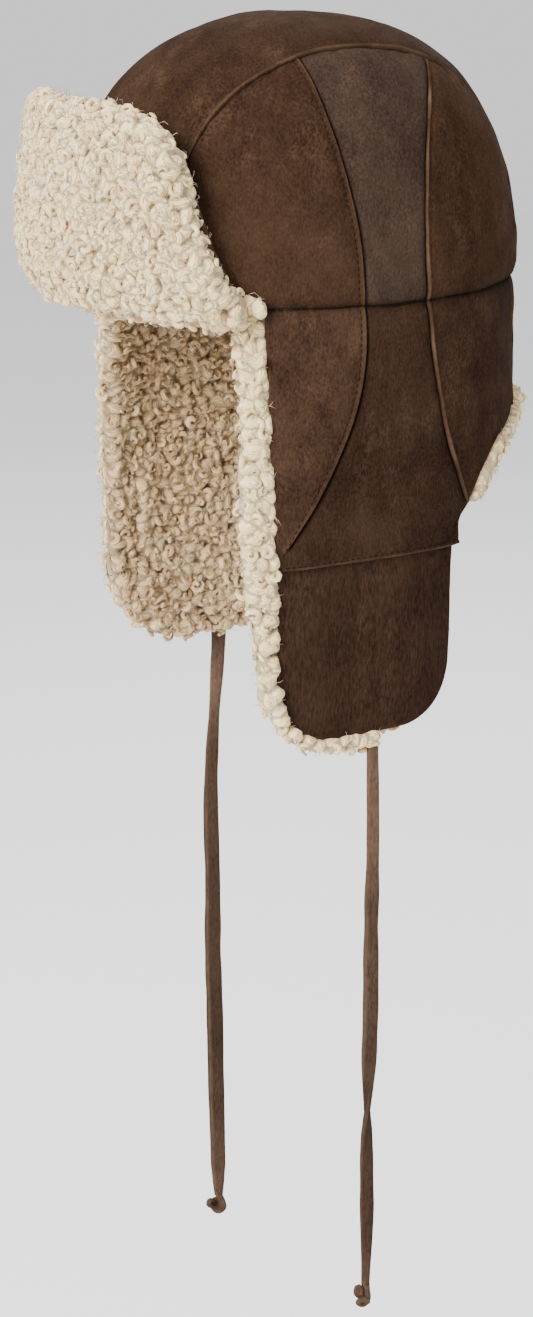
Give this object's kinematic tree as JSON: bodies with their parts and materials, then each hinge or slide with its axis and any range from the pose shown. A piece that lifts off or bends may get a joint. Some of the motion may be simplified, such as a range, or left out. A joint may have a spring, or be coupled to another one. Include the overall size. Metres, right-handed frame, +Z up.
{
  "type": "leather flying helmet",
  "caption": "Suede flying helmet with a panelled crown, hanging ear flaps, curly fleece lining, a turned-up fleece visor and knotted leather ties.",
  "frame": {"origin": "middle of the head hollow at the height of the level seam round the head, where a head holds the helmet", "axes": "+Z up, -Y towards the face opening and the visor, +X towards the wearer's left ear"},
  "size_m": [0.186, 0.2466, 0.7051],
  "materials": {
    "crown_suede": "reddish brown suede, rubbed lighter along the seams",
    "middle_suede": "darker purplish brown suede",
    "skirt_suede": "dark brown suede with mottled nap",
    "flap_suede": "dark brown suede with an upright nap",
    "fleece": "curly cream fleece",
    "tie_leather": "folded brown suede strip"
  },
  "bodies": {
    "root": {"crown_strip": "crown_suede", "nape_panel": "skirt_suede", "crown_front_left": "crown_suede", "crown_front_right": "crown_suede", "crown_middle_left": "middle_suede", "crown_middle_right": "middle_suede", "crown_rear_left": "crown_suede", "crown_rear_right": "crown_suede", "skirt_front_left": "skirt_suede", "skirt_front_right": "skirt_suede", "skirt_middle_left": "skirt_suede", "skirt_middle_right": "skirt_suede", "skirt_rear_left": "skirt_suede", "skirt_rear_right": "skirt_suede", "ear_flap_left": "flap_suede", "ear_flap_right": "flap_suede", "lining_crown": "fleece", "lining_nape": "fleece", "lining_ear_left": "fleece", "lining_ear_right": "fleece", "visor_leather": "middle_suede", "visor_fleece": "fleece", "tie_left": "tie_leather", "tie_right": "tie_leather", "knot_left": "tie_leather", "knot_right": "tie_leather"}
  },
  "joints": []
}
